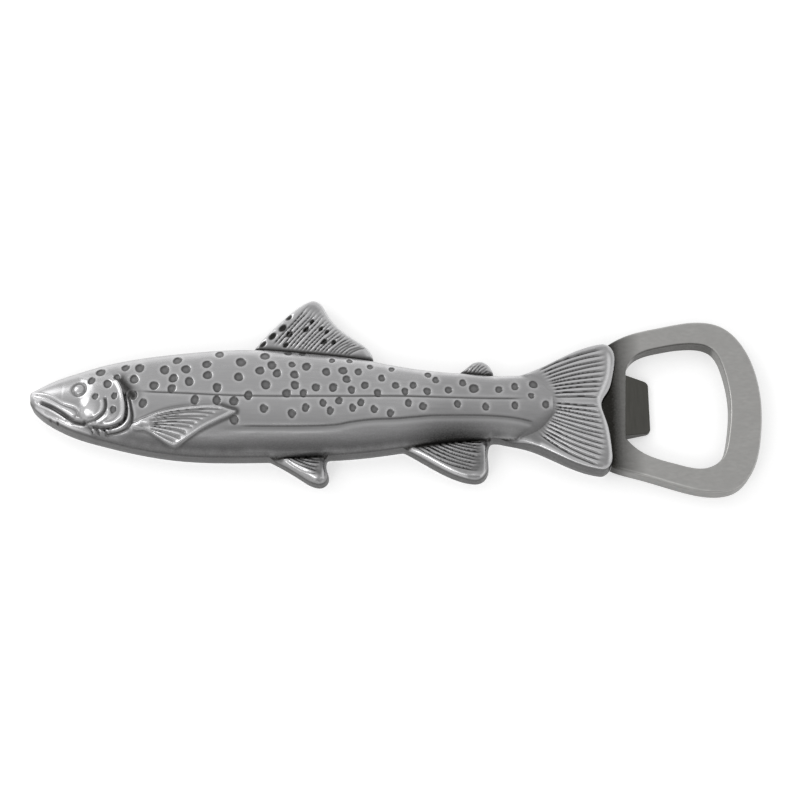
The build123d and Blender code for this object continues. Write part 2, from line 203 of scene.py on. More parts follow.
# Pectoral fin, lying on the flank
PECTORAL = [
    (-61.6, -9.9), (-59.8, -8.9), (-57.0, -7.8), (-53.0, -6.6), (-48.0, -5.8), (-42.5, -5.5),
    (-39.0, -6.4), (-37.2, -7.2), (-41.0, -9.0), (-44.5, -10.6), (-48.0, -12.6), (-50.6, -14.0),
    (-52.2, -14.1), (-55.0, -12.6), (-58.0, -11.0), (-60.4, -10.6),
]
PECTORAL_TOP = 0.55
PECTORAL_FILM = 0.32  # stain all over the fin
PECTORAL_RIM = (0.26, 0.2)  # half-width and height of its rear rim
KNUCKLE = (0.75, 0.4)  # of the swelling at its root
PECTORAL_LEADING = [
    (-59.4, -8.9), (-57.0, -7.9), (-54.0, -6.9), (-50.5, -6.2), (-47.0, -5.8), (-42.5, -5.5),
]
PECTORAL_ROOT = [(-61.2, -10.3), (-60.0, -9.9), (-59.0, -9.4), (-57.8, -9.4)]
PECTORAL_TRAILING = [(-37.8, -7.2), (-41.0, -8.7), (-44.5, -10.3), (-48.0, -12.3), (-51.0, -13.8)]

# Raised rims along the edges of the fins and the tail: points, half-width, height
RIMS = [
    ([(-26.6, -16.2), (-24.0, -17.5), (-20.5, -19.6), (-17.8, -21.6)], 0.8, 0.3),
    ([(-16.9, -16.2), (-16.8, -19.0), (-17.0, -21.6)], 0.4, 0.25),
    ([(2.6, -13.6), (6.0, -15.1), (10.0, -17.5), (14.0, -19.8), (17.8, -21.3)], 0.8, 0.32),
    ([(20.8, -12.4), (21.0, -16.0), (20.7, -19.5), (19.2, -21.0)], 0.4, 0.25),
    ([(50.2, 10.6), (50.7, 8.0), (50.3, 4.0), (49.0, 0.5), (47.9, -2.4), (48.9, -6.0),
      (49.8, -11.0), (50.2, -16.0), (49.3, -19.2)], 0.4, 0.08),
    ([(33.0, -13.0), (36.0, -14.6), (42.0, -18.1), (46.5, -20.2)], 0.6, 0.16),
]

# Fans of fin rays: the line their grooves start on, the line they end on, count, bow of the
# first and the last, half-width at each end, depth, and how far along they begin to fade
FANS = {
    "pectoral": dict(
        start=[(-56.8, -8.2), (-57.4, -9.2), (-57.2, -10.2), (-57.2, -11.0)],
        end=[(-39.6, -6.8), (-43.0, -8.5), (-46.0, -10.0), (-48.6, -12.0), (-51.2, -13.7)],
        count=9, bow=(0.7, 0.0), widths=(0.12, 0.28), depth=0.32, fade=0.9,
    ),
    "dorsal": dict(
        start=[(-29.6, 12.2), (-25.0, 11.0), (-20.0, 10.4), (-15.0, 10.1), (-11.6, 9.7)],
        end=[(-20.4, 23.2), (-16.8, 20.8), (-13.0, 16.8), (-10.0, 13.9), (-6.8, 11.4)],
        count=20, bow=(0.1, 0.6), widths=(0.24, 0.18), depth=0.4, fade=0.7,
    ),
    "adipose": dict(
        start=[(15.8, 5.3), (18.0, 4.7), (20.8, 4.5)],
        end=[(18.6, 8.0), (21.2, 7.8), (22.6, 5.6)],
        count=7, bow=(0.3, 0.5), widths=(0.2, 0.16), depth=0.32, fade=0.7,
    ),
    "pelvic": dict(
        start=[(-25.6, -16.5), (-24.6, -15.7), (-22.8, -15.1)],
        end=[(-18.0, -20.3), (-17.6, -17.8), (-17.4, -15.3)],
        count=6, bow=(-0.5, -0.3), widths=(0.18, 0.26), depth=0.42, fade=0.8,
    ),
    "anal": dict(
        start=[(5.0, -13.4), (7.3, -12.8), (10.6, -11.9), (14.0, -11.3)],
        end=[(19.8, -19.4), (20.2, -16.8), (20.4, -14.2), (20.4, -12.2)],
        count=9, bow=(-1.0, -0.2), widths=(0.18, 0.28), depth=0.45, fade=0.82,
    ),
    "tail_upper": dict(
        start=[(33.6, 4.9), (35.4, 2.7), (36.6, 0.6), (37.2, -1.3)],
        end=[(50.9, 11.0), (51.3, 7.8), (50.8, 3.4), (48.9, -1.3)],
        count=10, bow=(0.9, 0.0), widths=(0.2, 0.36), depth=0.5, fade=0.78,
    ),
    "tail_lower": dict(
        start=[(37.4, -2.9), (36.6, -5.2), (35.2, -7.4), (33.4, -10.4)],
        end=[(48.7, -3.9), (50.0, -9.0), (50.5, -13.8), (48.9, -19.0)],
        count=12, bow=(0.0, -0.9), widths=(0.2, 0.34), depth=0.5, fade=0.8,
    ),
}
RAY_WAVER = 0.09  # how far a ray strays from its bow
RAY_STAIN = 0.84  # in the grooves between the rays
# Stain all over the fins and the tail
BACK_FILM = 0.2
ADIPOSE_FILM = 0.15  # on top of the other back fins'
BELLY_FILM = 0.67
TAIL_FILM = 0.34
TAIL_ROOT_FILM = 0.2  # on top of the rest of the tail's
ROOT_STAIN = 1.1  # along the roots of the fins, beside the trunk
ROOT_BANDS = (1.35, 0.8)  # how wide that is on the back and on the belly
BLOTCH_SIZE = (1.85, 1.2)  # of the back fin's blotches, along the rays and across
BLOTCH_DEPTH = 0.22


# ---------------------------------------------------------------- plane geometry helpers
def smooth_line(points, step=0.3, closed=False):
    """Points along the smooth curve through a few given ones, as an array."""
    knots = np.array(points, float)
    if closed:
        knots = np.vstack([knots[-1], knots, knots[:2]])
    else:
        knots = np.vstack([2 * knots[0] - knots[1], knots, 2 * knots[-1] - knots[-2]])
    pieces = []
    for a, b, c, d in zip(knots, knots[1:], knots[2:], knots[3:]):
        count = max(2, int(np.ceil(np.linalg.norm(c - b) / step)))
        t = np.linspace(0, 1, count, endpoint=False)[:, None]
        curve = 2 * b + (c - a) * t + (2 * a - 5 * b + 4 * c - d) * t**2
        pieces.append((curve + (3 * b - a - 3 * c + d) * t**3) / 2)
    pieces.append(knots[-2:-1])
    return np.vstack(pieces)


def to_line(x, y, line, reach):
    """Distance of each place to a line, its share of the way along and the side it is on.

    Places further off than reach get the distance reach. The side is +1 to the left of the line.
    """
    distance = np.full(x.shape, float(reach))
    share = np.zeros(x.shape)
    side = np.ones(x.shape)
    low, high = line.min(0) - reach, line.max(0) + reach
    near = np.flatnonzero((x > low[0]) & (x < high[0]) & (y > low[1]) & (y < high[1]))
    start, edge = line[:-1], np.diff(line, axis=0)
    square = (edge**2).sum(1)
    for chunk in np.array_split(near, max(1, near.size // 4000)):
        if not chunk.size:
            continue
        off_x = x[chunk, None] - start[:, 0]
        off_y = y[chunk, None] - start[:, 1]
        t = np.clip((off_x * edge[:, 0] + off_y * edge[:, 1]) / square, 0, 1)
        gap = np.hypot(off_x - t * edge[:, 0], off_y - t * edge[:, 1])
        nearest = gap.argmin(1)
        rows = np.arange(chunk.size)
        distance[chunk] = np.minimum(gap[rows, nearest], reach)
        share[chunk] = (nearest + t[rows, nearest]) / len(start)
        turn = edge[nearest, 0] * off_y[rows, nearest] - edge[nearest, 1] * off_x[rows, nearest]
        side[chunk] = np.where(turn >= 0, 1, -1)
    return distance, share, side


def inside(x, y, loop):
    """Whether each place is inside a closed loop."""
    odd = np.zeros(x.shape, bool)
    for (ax, ay), (bx, by) in zip(loop, np.roll(loop, -1, axis=0)):
        if ay == by:
            continue
        crossing = ((ay > y) != (by > y)) & (x < (bx - ax) * (y - ay) / (by - ay) + ax)
        odd ^= crossing
    return odd


def soft_step(value):
    """0 below 0, 1 above 1 and a smooth rise between."""
    t = np.clip(value, 0, 1)
    return t * t * (3 - 2 * t)


def bell(distance, width):
    """1 at a distance of 0, falling smoothly to almost nothing at twice the width."""
    return np.exp(-((distance / width) ** 2))


def soft_max(a, b, width):
    """The larger of two heights, with a small fillet where they meet."""
    h = np.clip(0.5 + (a - b) / (2 * width), 0, 1)
    return b + (a - b) * h + width * h * (1 - h)


def hermite(x, knots, values):
    """Smooth interpolation through stations."""
    slopes = np.gradient(values, knots)
    i = np.clip(np.searchsorted(knots, x) - 1, 0, len(knots) - 2)
    span = knots[i + 1] - knots[i]
    t = np.clip((x - knots[i]) / span, 0, 1)
    start = (1 + 2 * t) * (1 - t) ** 2 * values[i] + t * (1 - t) ** 2 * span * slopes[i]
    end = t**2 * (3 - 2 * t) * values[i + 1] + t**2 * (t - 1) * span * slopes[i + 1]
    return start + end


# ---------------------------------------------------------------- the relief
def trunk_arch(x, y, edge):
    """Height of the bare trunk, the signed distance in from its side, and how far down the belly.

    The last is 0 from the crest to the back and rises to 1 at the belly's side.
    """
    stations, belly, back, crest = TRUNK.T
    low = hermite(x, stations, belly)
    high = hermite(x, stations, back)
    top = hermite(x, stations, crest)
    half = (high - low) / 2
    margin = half - np.abs(y - (low + high) / 2)
    nearness = soft_step(1 - edge / EDGE_REACH)
    margin = np.where(margin > 0, margin - nearness * np.maximum(margin - edge, 0), margin)
    t = np.clip(1 - margin / half, 0, 1)
    on_back = y > (low + high) / 2
    arch = SHOULDER + (top - SHOULDER) * (1 - t * t) ** np.where(on_back, BACK_POWER, BELLY_POWER)
    beyond = np.maximum(x - stations[-1], 0)
    arch -= 3 * np.maximum(-margin, 0) + 3 * beyond
    return arch, margin - beyond, np.where(on_back, 0, t)


def fan_lines(fan):
    """The grooves between one fin's rays, as gently bowed lines."""
    start, end = smooth_line(fan["start"]), smooth_line(fan["end"])
    lines = []
    for i, share in enumerate(np.linspace(0, 1, fan["count"])):
        a = start[int(round(share * (len(start) - 1)))]
        b = end[int(round(share * (len(end) - 1)))]
        bow = fan["bow"][0] + (fan["bow"][1] - fan["bow"][0]) * share
        along = b - a
        normal = np.array([-along[1], along[0]]) / np.linalg.norm(along)
        t = np.linspace(0, 1, 20)[:, None]
        waver = RAY_WAVER * np.sin(9 * t + 2.4 * i) * t
        lines.append(a + along * t + normal * (bow * 4 * t * (1 - t) + waver))
    return lines


def add_fan(x, y, z, stain_and_shade, fan):
    """Cut the grooves between a fin's rays."""
    for line in fan_lines(fan):
        distance, share, _ = to_line(x, y, line, 1.5)
        width = fan["widths"][0] + (fan["widths"][1] - fan["widths"][0]) * share
        fade = soft_step((1 - share) / (1 - fan["fade"])) * soft_step(share / 0.14 + 0.12)
        groove = bell(distance, width) * fade
        z -= fan["depth"] * groove
        stain_and_shade[:] = np.maximum(stain_and_shade, RAY_STAIN * groove * (1 - 0.3 * share))


def add_head(x, y, z, stain_and_shade, rub_and_highlight):
    """Cheek, gill cover and eye."""
    front, along, side = to_line(x, y, smooth_line(CHEEK_FRONT), 6.0)
    rear, _, rear_side = to_line(x, y, smooth_line(GILL_EDGE), 6.0)
    low, high = min(p[1] for p in GILL_EDGE), 3.0
    width = CHEEK_STEP[0] + CHEEK_STEP[1] * bell(along - 0.42, 0.2)
    behind_front = soft_step(side * front / width + 0.5)
    before_edge = soft_step((-rear_side * rear + 0.15) / 0.35)
    zone = (x > -76) & (x < -61.5) & (y > low - 1.5) & (y < high + 1)
    fade = soft_step((high - y) / 2.6)
    z += np.where(zone, CHEEK_HEIGHT * behind_front * before_edge * fade, 0)
    bulge = bell(x - BULGE[0], BULGE_SIZE[0]) * bell(y - BULGE[1], BULGE_SIZE[1])
    z += BULGE_HEIGHT * bulge
    # Painted highlight on the cheek's bulge
    rub_and_highlight[:] = np.maximum(rub_and_highlight, 0.9 * bulge)
    away = np.hypot(x - EYE[0], y - EYE[1])
    z += EYE_HEIGHT * np.sqrt(np.clip(1 - (away / EYE_RADIUS) ** 2, 0, 1))
    socket_radius, socket_width, socket_depth = SOCKET
    socket = bell(away - socket_radius, socket_width)
    z -= socket_depth * socket
    stain_and_shade[:] = np.maximum(stain_and_shade, 0.65 * socket)
    stain_and_shade[:] = np.maximum(stain_and_shade, EYE_STAIN * (away < EYE_RADIUS))
    off_hollow, _, _ = to_line(x, y, smooth_line(GILL_HOLLOW), 3.0)
    hollow = bell(off_hollow, HOLLOW_SIZE[0]) * (rear_side > 0)
    z -= HOLLOW_SIZE[1] * hollow
    stain_and_shade[:] = np.maximum(stain_and_shade, 0.95 * hollow)


def add_pectoral(x, y, z, stain_and_shade):
    """The side fin and its root."""
    outline = smooth_line(PECTORAL, closed=True)
    distance, _, _ = to_line(x, y, outline, 2.0)
    signed = np.where(inside(x, y, outline), distance, -distance)
    lead, _, above = to_line(x, y, smooth_line(PECTORAL_LEADING), 4.0)
    blend = soft_step((2.2 - lead) / 1.6)
    on_fin = soft_step((signed + 0.1) / 0.4)
    z += PECTORAL_TOP * (on_fin + (soft_step((signed + 0.3) / 1.1) - on_fin) * blend)
    # Painted shadow on the trunk below the fin's lower edge
    under = bell(signed + 0.4, 0.7) * (signed < 0.1) * (1 - 0.75 * blend)
    stain_and_shade[:] = np.maximum(stain_and_shade, 0.8 * under)
    # Painted shade in the shallow groove above the leading edge
    over = bell(lead - 0.5, 0.4) * (above > 0) * soft_step((-43 - x) / 8)
    z -= 0.1 * over
    stain_and_shade[:] = np.maximum(stain_and_shade, 0.5 * over)
    stain_and_shade[:] = np.maximum(stain_and_shade * (1 - 0.7 * on_fin), PECTORAL_FILM * on_fin)
    add_fan(x, y, z, stain_and_shade, FANS["pectoral"])
    z += 0.14 * bell(lead - 0.3, 0.3) * (above < 0)
    off_rim, _, _ = to_line(x, y, smooth_line(PECTORAL_TRAILING), 2.0)
    z += PECTORAL_RIM[1] * bell(off_rim, PECTORAL_RIM[0])
    off_root, _, _ = to_line(x, y, smooth_line(PECTORAL_ROOT), 3.0)
    knuckle = bell(off_root, KNUCKLE[0])
    z += KNUCKLE[1] * knuckle
    stain_and_shade *= 1 - knuckle


def fin_plate(x, y, edge, outside):
    """Height, stain, and share brightened as rubbed wear and painted highlight, of the fins and
    the tail, and the share that is tail.
    """
    on_tail = soft_step((x - TAIL_START_X + 1) / 9)
    plate = FIN_TOP + (TAIL_TOP - FIN_TOP) * on_tail
    plate -= 0.5 * np.exp(-outside) * (1 - on_tail) + 0.2 * np.exp(-outside / 1.5) * on_tail
    band = np.where(y > 0, *ROOT_BANDS)
    stain_and_shade = ROOT_STAIN * bell(outside, band) * (1 - on_tail)
    lower = 0.55 + 0.45 * soft_step((-y - 2) / 5)
    tail_film = (TAIL_FILM + TAIL_ROOT_FILM * soft_step((40 - x) / 9)) * lower
    fin_film = np.where(y > 0, BACK_FILM + ADIPOSE_FILM * (x > 10), BELLY_FILM)
    stain_and_shade = np.maximum(stain_and_shade, fin_film * (1 - on_tail) + tail_film * on_tail)
    rub_and_highlight = np.zeros(x.shape)
    for name, fan in FANS.items():
        if name != "pectoral":
            add_fan(x, y, plate, stain_and_shade, fan)
    for points, half_width, height in RIMS:
        distance, share, _ = to_line(x, y, smooth_line(points), 3.0)
        ends = soft_step(share / 0.1) * soft_step((1 - share) / 0.1)
        mark = bell(distance, half_width) * ends
        plate += height * mark
        # The rims brightened: rubbed wear, partly a painted highlight
        rub_and_highlight = np.maximum(rub_and_highlight, mark)
    for spot_x, spot_y, radius in FIN_SPOTS:
        off_x, off_y = x - spot_x, y - spot_y
        along, across = (off_x + off_y) / BLOTCH_SIZE[0], (off_y - off_x) / BLOTCH_SIZE[1]
        press = soft_step((1.2 - np.hypot(along, across) / radius) / 0.5)
        plate -= BLOTCH_DEPTH * press
        stain_and_shade = np.maximum(stain_and_shade, press)
    fin_roll = np.where(y > 0, BACK_ROLL[0], BELLY_ROLL[0])
    fin_drop = np.where(y > 0, BACK_ROLL[1], BELLY_ROLL[1])
    width = fin_roll + (TAIL_ROLL[0] - fin_roll) * on_tail
    drop = fin_drop + (TAIL_ROLL[1] - fin_drop) * on_tail
    share = np.clip(1 - edge / width, 0, 1)
    return plate - drop * (1 - np.sqrt(1 - share**2)), stain_and_shade, rub_and_highlight, on_tail


def press_spots(x, y, z, stain_and_shade):
    """Press the spots in, each a shallow dish that keeps most stain at its rim."""
    for spot_x, spot_y, radius in SPOTS:
        away = np.hypot(x - spot_x, (y - spot_y) / 1.1)
        turn = np.arctan2(y - spot_y, x - spot_x)
        away /= radius * (1 + 0.05 * np.cos(2 * turn + spot_x) + 0.03 * np.cos(3 * turn + spot_y))
        press = soft_step((1.12 - away) / 0.4)
        z -= SPOT_DEPTH * press
        dirty = soft_step((1.2 - away) / 0.3)
        stain_and_shade[:] = np.maximum(stain_and_shade, dirty * (0.6 + 0.34 * np.clip(away, 0, 1) ** 2))


def relief(x, y, edge):
    """Height of the casting's front, its stain and painted shade, and its rubbed wear and painted
    highlight; edge is the way to the outline.
    """
    skin, margin, down = trunk_arch(x, y, edge)
    on_trunk = margin > 0
    plate, stain_and_shade, rub_and_highlight, on_tail = fin_plate(x, y, edge, np.maximum(-margin, 0))
    # The belly side darkened, less at the nose and the tail: painted shade, partly antique stain
    ends = soft_step((x + 83) / 11) * (1 - 0.45 * soft_step((x - 14) / 14))
    skin_stain_and_shade = BELLY_SHADE_AND_STAIN * down**1.3 * ends + PEDUNCLE_STAIN * soft_step(x / 12)
    skin_rub_and_highlight = np.zeros(x.shape)
    press_spots(x, y, skin, skin_stain_and_shade)
    fold, share, side = to_line(x, y, smooth_line(BELLY_FOLD), 5.0)
    fade = soft_step(share / 0.12) * soft_step((1 - share) / 0.06)
    below = -side * fold
    swell = soft_step((below + 0.1) / 1.3) * np.exp(-np.maximum(below - 1, 0) / 2.6)
    skin += FOLD_HEIGHT * swell * fade
    crease = bell(below + 0.15, 0.42) * fade
    skin -= FOLD_CREASE * crease
    skin_stain_and_shade = np.maximum(skin_stain_and_shade, 0.8 * crease)
    for points, width, height, dirt in LINES:
        distance, share, _ = to_line(x, y, smooth_line(points), 3.0)
        ends = soft_step(share / 0.06 + 0.15) * soft_step((1 - share) / 0.06 + 0.15)
        mark = bell(distance, width) * ends
        skin += height * mark
        skin_stain_and_shade = np.maximum(skin_stain_and_shade, dirt * mark)
        # Raised lines brightened: rubbed wear, partly a painted highlight
        if height > 0:
            skin_rub_and_highlight = np.maximum(skin_rub_and_highlight, mark)
    add_head(x, y, skin, skin_stain_and_shade, skin_rub_and_highlight)
    add_pectoral(x, y, skin, skin_stain_and_shade)
    z = soft_max(skin, plate, 0.12 + 0.5 * on_tail)
    stain_and_shade = np.where(on_trunk, skin_stain_and_shade, stain_and_shade)
    return z, stain_and_shade, np.where(on_trunk, skin_rub_and_highlight, rub_and_highlight)


# ---------------------------------------------------------------- the casting's mesh
GRID = 0.225  # spacing of the front's points
OUTLINE_HEIGHT = 3.95  # where the CAD casting's outline is taken
OUTLINE_STEP = 0.4  # spacing of the outline's points
CORNER_EASE = 0.35  # by which the outline's corners are eased
RINGS = (0.0, 0.04, 0.11, 0.22, 0.38, 0.6, 0.86)  # how far in the rows beside the outline lie
RING_CLEARANCE = 0.18  # between the innermost ring and the grid
EDGE_REACH = 2.2  # distances to the outline are worked out this far in
WALL_ROWS = (0.3, 0.65, 1.0)  # share of the way down the wall
BACK_ROUND = 0.3  # radius between the wall and the back
SIDE_STEPS = (-0.2, -0.05, 0.03, 0.1, 0.2, 0.35, 0.55)  # rows beside the trunk's side, inwards
SIDE_CLEARANCE = 0.15  # between those rows and the grid
COVER = 1.0  # thickness of the back cover
GAP = 0.08  # round the back cover
TANG_SLOT = (17.92, 46.0), (-6.98, 1.78)  # ranges along x and y
HEEL_SLOT = (45.92, 52.5), (-8.68, 3.48)
SLOT_TOP = 3.58
BELOW_BACK = -1.0  # cuts start this far below the back
SHARP_ANGLE = math.radians(70)
FINE_ROUNDS = 17  # of smoothing, to find small hollows
BROAD_ROUNDS = 170  # to find wide ones


def section_loop(node, height):
    """Longest closed loop in which a CAD node crosses one height, in mm."""
    cut = bmesh.new()
    cut.from_mesh(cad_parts[node].data)
    bmesh.ops.remove_doubles(cut, verts=cut.verts, dist=1e-6)
    geometry = cut.verts[:] + cut.edges[:] + cut.faces[:]
    result = bmesh.ops.bisect_plane(
        cut, geom=geometry, plane_co=(0, 0, height * MM), plane_no=(0, 0, 1), dist=1e-7
    )
    edges = [e for e in result["geom_cut"] if isinstance(e, bmesh.types.BMEdge)]
    neighbours = {}
    for edge in edges:
        a, b = edge.verts
        neighbours.setdefault(a, []).append(b)
        neighbours.setdefault(b, []).append(a)
    loops = []
    unused = dict.fromkeys(neighbours)
    while unused:
        current, _ = unused.popitem()
        loop = [current]
        while True:
            following = [v for v in neighbours[current] if v in unused]
            if not following:
                break
            current = following[0]
            unused.pop(current)
            loop.append(current)
        loops.append(np.array([(v.co.x / MM, v.co.y / MM) for v in loop]))
    cut.free()
    longest = max(loops, key=lambda each: np.linalg.norm(np.diff(each, axis=0), axis=1).sum())
    x, y = longest.T
    area = np.sum(x * np.roll(y, -1) - y * np.roll(x, -1))
    return longest if area > 0 else longest[::-1]


def even_loop(loop, step, smoothing):
    """A closed loop with evenly spaced points, its corners eased by about smoothing."""
    closed = np.vstack([loop, loop[:1]])
    reach = np.concatenate([[0], np.cumsum(np.linalg.norm(np.diff(closed, axis=0), axis=1))])
    fine = 0.1
    places = np.arange(0, reach[-1], fine)
    even = np.stack([np.interp(places, reach, closed[:, k]) for k in (0, 1)], 1)
    width = int(3 * smoothing / fine)
    kernel = np.exp(-0.5 * (np.arange(-width, width + 1) * fine / smoothing) ** 2)
    kernel /= kernel.sum()
    padded = np.vstack([even[-width:], even, even[:width]])
    even = np.stack([np.convolve(padded[:, k], kernel, "valid") for k in (0, 1)], 1)
    return even[:: max(1, int(round(step / fine)))]


def inward(loop, distance):
    """The loop moved in by a distance; the loop runs anticlockwise."""
    along = np.roll(loop, -1, axis=0) - np.roll(loop, 1, axis=0)
    normal = np.stack([-along[:, 1], along[:, 0]], 1)
    return loop + distance * normal / np.linalg.norm(normal, axis=1)[:, None]


def edge_distance(x, y, loop, reach):
    """Distance of each place to the outline, up to a reach, worked out strip by strip."""
    distance = np.full(x.shape, float(reach))
    closed = np.vstack([loop, loop[:1]])
    strip = 6.0
    for left in np.arange(x.min() - strip, x.max() + strip, strip):
        chosen = np.flatnonzero((x >= left) & (x < left + strip))
        middle = (closed[:-1, 0] + closed[1:, 0]) / 2
        near = (middle > left - reach - 1) & (middle < left + strip + reach + 1)
        if not chosen.size or not near.any():
            continue
        start, edge = closed[:-1][near], np.diff(closed, axis=0)[near]
        off_x = x[chosen, None] - start[:, 0]
        off_y = y[chosen, None] - start[:, 1]
        t = np.clip((off_x * edge[:, 0] + off_y * edge[:, 1]) / (edge**2).sum(1), 0, 1)
        gap = np.hypot(off_x - t * edge[:, 0], off_y - t * edge[:, 1]).min(1)
        distance[chosen] = np.minimum(gap, reach)
    return distance


def triangulate(loops, points):
    """Triangles inside the first loop, through all loops and points."""
    corners = np.vstack(loops + [points])
    edges = []
    base = 0
    for loop in loops:
        count = len(loop)
        edges += [(base + i, base + (i + 1) % count) for i in range(count)]
        base += count
    result = delaunay_2d_cdt([Vector(p) for p in corners.tolist()], edges, [], 1, 1e-4, False)
    verts = np.array([v[:] for v in result[0]])
    faces = np.array(result[2])
    middle = verts[faces].mean(1)
    faces = faces[inside(middle[:, 0], middle[:, 1], loops[0])]
    used, faces = np.unique(faces, return_inverse=True)
    return verts[used], faces.reshape(-1, 3)


def border(faces):
    """The triangles' border as an ordered list of point numbers."""
    directed = np.vstack([faces[:, [0, 1]], faces[:, [1, 2]], faces[:, [2, 0]]])
    pairs = set(map(tuple, directed.tolist()))
    following = {a: b for a, b in pairs if (b, a) not in pairs}
    first = next(iter(following))
    order = [first]
    while following[order[-1]] != first:
        order.append(following[order[-1]])
    return order


def trunk_side_gap(x, y):
    """Distance in from the trunk's nearer side, and a large one in front of or behind the trunk."""
    stations, belly, back, _ = TRUNK.T
    low, high = hermite(x, stations, belly), hermite(x, stations, back)
    gap = (high - low) / 2 - np.abs(y - (low + high) / 2)
    return np.where((x < stations[0]) | (x > TAIL_START_X), 9.0, gap)


def trunk_side_points():
    """Rows of points that follow the trunk's sides where fins grow from them."""
    stations, belly, back, _ = TRUNK.T
    x = np.arange(stations[0] + 1, TAIL_START_X, 0.3)
    rows = []
    for step in SIDE_STEPS:
        rows.append(np.column_stack([x, hermite(x, stations, belly) + step]))
        rows.append(np.column_stack([x, hermite(x, stations, back) - step]))
    return np.vstack(rows)


def place_object(name, data):
    """A new object in the scene."""
    placed = bpy.data.objects.new(name, data)
    bpy.context.scene.collection.objects.link(placed)
    return placed


def store(mesh, name, values):
    """Keep one number for each point of the mesh."""
    mesh.attributes.new(name, "FLOAT", "POINT").data.foreach_set("value", values.astype(np.float32))


def inside_rings(points, top, clearance):
    """The points that are inside the innermost ring by more than a clearance."""
    x, y = points.T
    points = points[edge_distance(x, y, top, EDGE_REACH) > RINGS[-1] + clearance]
    return points[inside(points[:, 0], points[:, 1], top)]


def front_points(outline, top):
    """Points inside the rings: an even grid, and rows that follow the trunk's sides."""
    low, high = outline.min(0), outline.max(0)
    columns = np.arange(low[0], high[0], GRID)
    rows = np.arange(low[1], high[1], GRID * math.sqrt(0.75))
    grid_x, grid_y = np.meshgrid(columns, rows)
    grid_x[::2] += GRID / 2
    grid = inside_rings(np.stack([grid_x.ravel(), grid_y.ravel()], 1), top, RING_CLEARANCE)
    gap = trunk_side_gap(grid[:, 0], grid[:, 1])
    outer, inner = SIDE_STEPS[0] - SIDE_CLEARANCE, SIDE_STEPS[-1] + SIDE_CLEARANCE
    grid = grid[(gap < outer) | (gap > inner)]
    return np.vstack([grid, inside_rings(trunk_side_points(), top, 0.1)])


def wall_rows(rim, rim_z):
    """Rows of points from the front's rim down the wall and round its lower edge to the back."""
    out = rim - inward(rim, 1.0)
    rows = []
    for share in WALL_ROWS:
        level = rim_z * (1 - share) + BACK_ROUND * share
        rows.append(np.column_stack([rim + out * DRAFT * share, level]))
    for turn in (math.pi / 4, math.pi / 2):
        place = rim + out * (DRAFT - BACK_ROUND * (1 - math.cos(turn)))
        level = np.full(len(rim), BACK_ROUND * (1 - math.sin(turn)))
        rows.append(np.column_stack([place, level]))
    return rows


def casting_mesh():
    """The whole casting as one closed mesh that holds each point's stain and painted shade, and its
    rubbed wear and painted highlight.
    """
    loop = section_loop("fish_casting", OUTLINE_HEIGHT)
    outline = even_loop(loop, OUTLINE_STEP, CORNER_EASE)
    top = inward(outline, DRAFT)
    rings = [top] + [inward(top, distance) for distance in RINGS[1:]]
    flat, triangles = triangulate(rings, front_points(outline, top))
    x, y = flat.T
    z, stain_and_shade, rub_and_highlight = relief(x, y, edge_distance(x, y, top, EDGE_REACH))
    rim = np.array(border(triangles))
    count = len(rim)
    wall = wall_rows(flat[rim], z[rim])
    upper = rim
    faces = [tuple(triangle) for triangle in triangles.tolist()]
    for i in range(len(wall)):
        lower = np.arange(count) + len(x) + i * count
        after = np.roll(lower, -1), np.roll(upper, -1)
        faces += np.column_stack([upper, lower, *after]).tolist()
        upper = lower
    faces.append(tuple(upper[::-1]))
    mesh = bpy.data.meshes.new("trout_casting")
    mesh.from_pydata((np.vstack([np.column_stack([x, y, z]), *wall]) * MM).tolist(), [], faces)
    bare = np.zeros(len(wall) * count)
    store(mesh, "stain_and_shade", np.concatenate([stain_and_shade, bare]))
    store(mesh, "rub_and_highlight", np.concatenate([rub_and_highlight, bare]))
    mesh.validate()
    return mesh


def box_loop(x_range, y_range):
    """The four corners of a rectangle, anticlockwise."""
    (left, right), (low, high) = x_range, y_range
    return np.array([(left, low), (right, low), (right, high), (left, high)])


def add_cut(body, loop, bottom, top):
    """Cut an upright prism over a loop out of an object, as a modifier; returns the cutter."""
    count = len(loop)
    verts = [(x * MM, y * MM, z * MM) for z in (bottom, top) for x, y in loop]
    ends = [tuple(range(count))[::-1], tuple(range(count, 2 * count))]
    sides = [(i, (i + 1) % count, count + (i + 1) % count, count + i) for i in range(count)]
    mesh = bpy.data.meshes.new("cutter")
    mesh.from_pydata(verts, [], ends + sides)
    cutter = place_object("cutter", mesh)
    cut = body.modifiers.new("cut", "BOOLEAN")
    cut.operation = "DIFFERENCE"
    cut.solver = "MANIFOLD"
    cut.object = cutter
    return cutter


def cut_back(mesh):
    """The casting with the seat of its back cover and the slots of the frame cut in."""
    body = place_object("casting_blank", mesh)
    seat = inward(section_loop("back_cover", COVER / 2), -GAP)
    extras = [
        add_cut(body, seat, BELOW_BACK, COVER),
        add_cut(body, box_loop(*TANG_SLOT), COVER / 2, SLOT_TOP),
        add_cut(body, box_loop(*HEEL_SLOT), BELOW_BACK, SLOT_TOP),
        body,
    ]
    view = bpy.context.evaluated_depsgraph_get()
    cut = bpy.data.meshes.new_from_object(
        body.evaluated_get(view), preserve_all_data_layers=True, depsgraph=view
    )
    for extra in extras:
        bpy.data.objects.remove(extra)
    return cut


